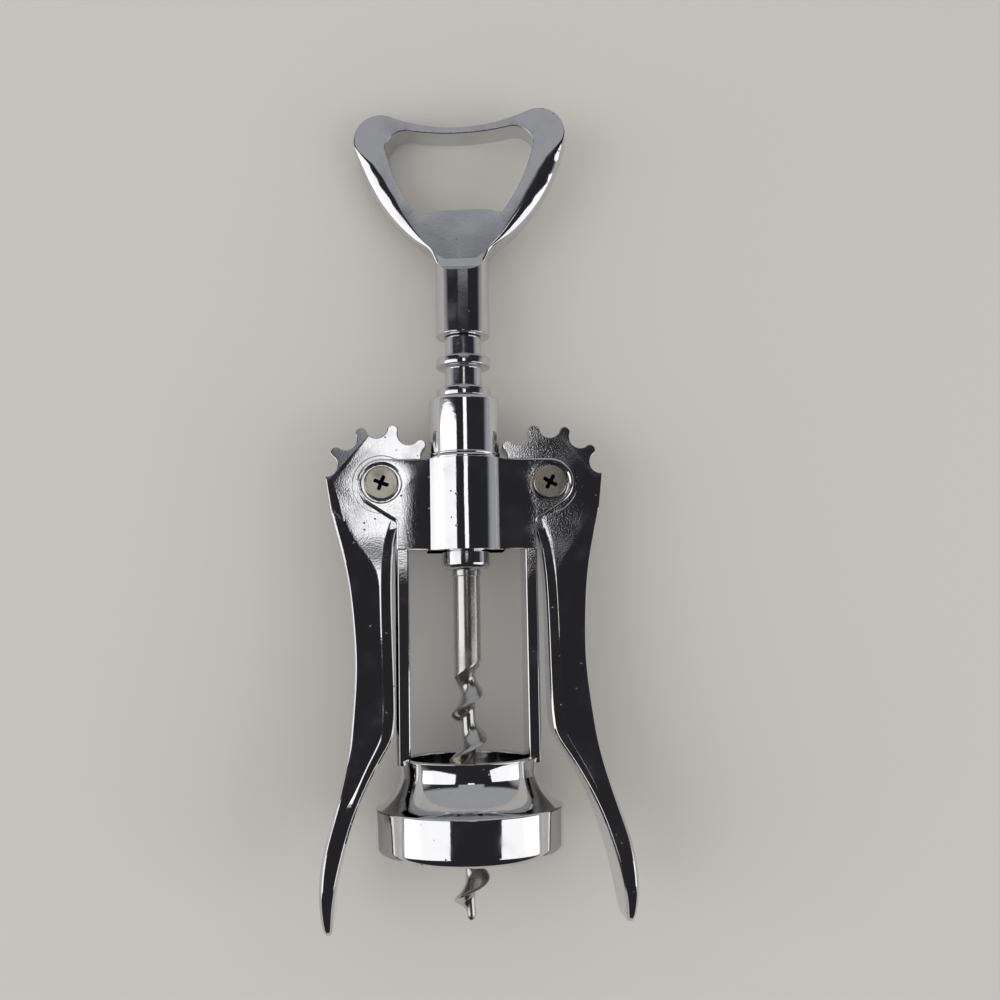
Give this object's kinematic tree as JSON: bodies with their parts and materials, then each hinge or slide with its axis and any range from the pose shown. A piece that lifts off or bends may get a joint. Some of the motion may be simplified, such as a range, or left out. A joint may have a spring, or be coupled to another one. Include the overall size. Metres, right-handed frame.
{
  "type": "wing corkscrew",
  "caption": "Wing corkscrew with a hollow bell that stands on the bottle, two geared levers, a ringed rack, a right-handed worm and a flat cap-opener handle, lying on its back.",
  "frame": {"origin": "on the worm's axis, in the plane of the bell's mouth", "axes": "+Y up the axis towards the opener handle, +X to the right seen from the screw-head side, +Z out of the screw-head side; the object lies on its back, on the -Z side"},
  "size_m": [0.064, 0.1725, 0.0384],
  "materials": {
    "frame_chrome": "mirror-polished chrome on a zinc casting, finely pitted",
    "collar_chrome": "bright turned and plated",
    "rack_chrome": "bright rings, duller grooves",
    "head_chrome": "mirror-polished chrome, finely pitted",
    "worm_nickel": "dull nickel plate",
    "lever_chrome": "mirror-polished chrome, finely pitted",
    "pivot_nickel": "aged nickel"
  },
  "bodies": {
    "frame": {"frame_casting": "frame_chrome", "guide_collar": "collar_chrome", "barrel_nut_left": "pivot_nickel", "barrel_nut_right": "pivot_nickel", "pivot_screw_left": "pivot_nickel", "pivot_screw_right": "pivot_nickel"},
    "rack": {"rack_shaft": "rack_chrome"},
    "spindle": {"opener_handle": "head_chrome", "worm": "worm_nickel"},
    "lever_left": {"lever_left": "lever_chrome"},
    "lever_right": {"lever_right": "lever_chrome"}
  },
  "joints": [
    {"name": "lever_left_pivot", "type": "hinge", "parent": "frame", "child": "lever_left", "pos_m": [-0.0176, 0.0755, 0], "axis": [0, 0, -1], "range_deg": [0, 117]},
    {"name": "lever_right_pivot", "type": "hinge", "parent": "frame", "child": "lever_right", "pos_m": [0.0176, 0.0755, 0], "axis": [0, 0, 1], "range_deg": [0, 117]},
    {"name": "rack_slide", "type": "slide", "parent": "frame", "child": "rack", "axis": [0, -1, 0], "range_m": [0, 0.02388]},
    {"name": "handle_spin", "type": "hinge", "parent": "rack", "child": "spindle", "pos_m": [0, 0.10745, 0], "axis": [0, 1, 0], "continuous": true}
  ],
  "couplings": [
    {"joint": "lever_right_pivot", "follows": "lever_left_pivot", "ratio": 1},
    {"joint": "rack_slide", "follows": "lever_left_pivot", "m_per_rad": 0.011695}
  ]
}
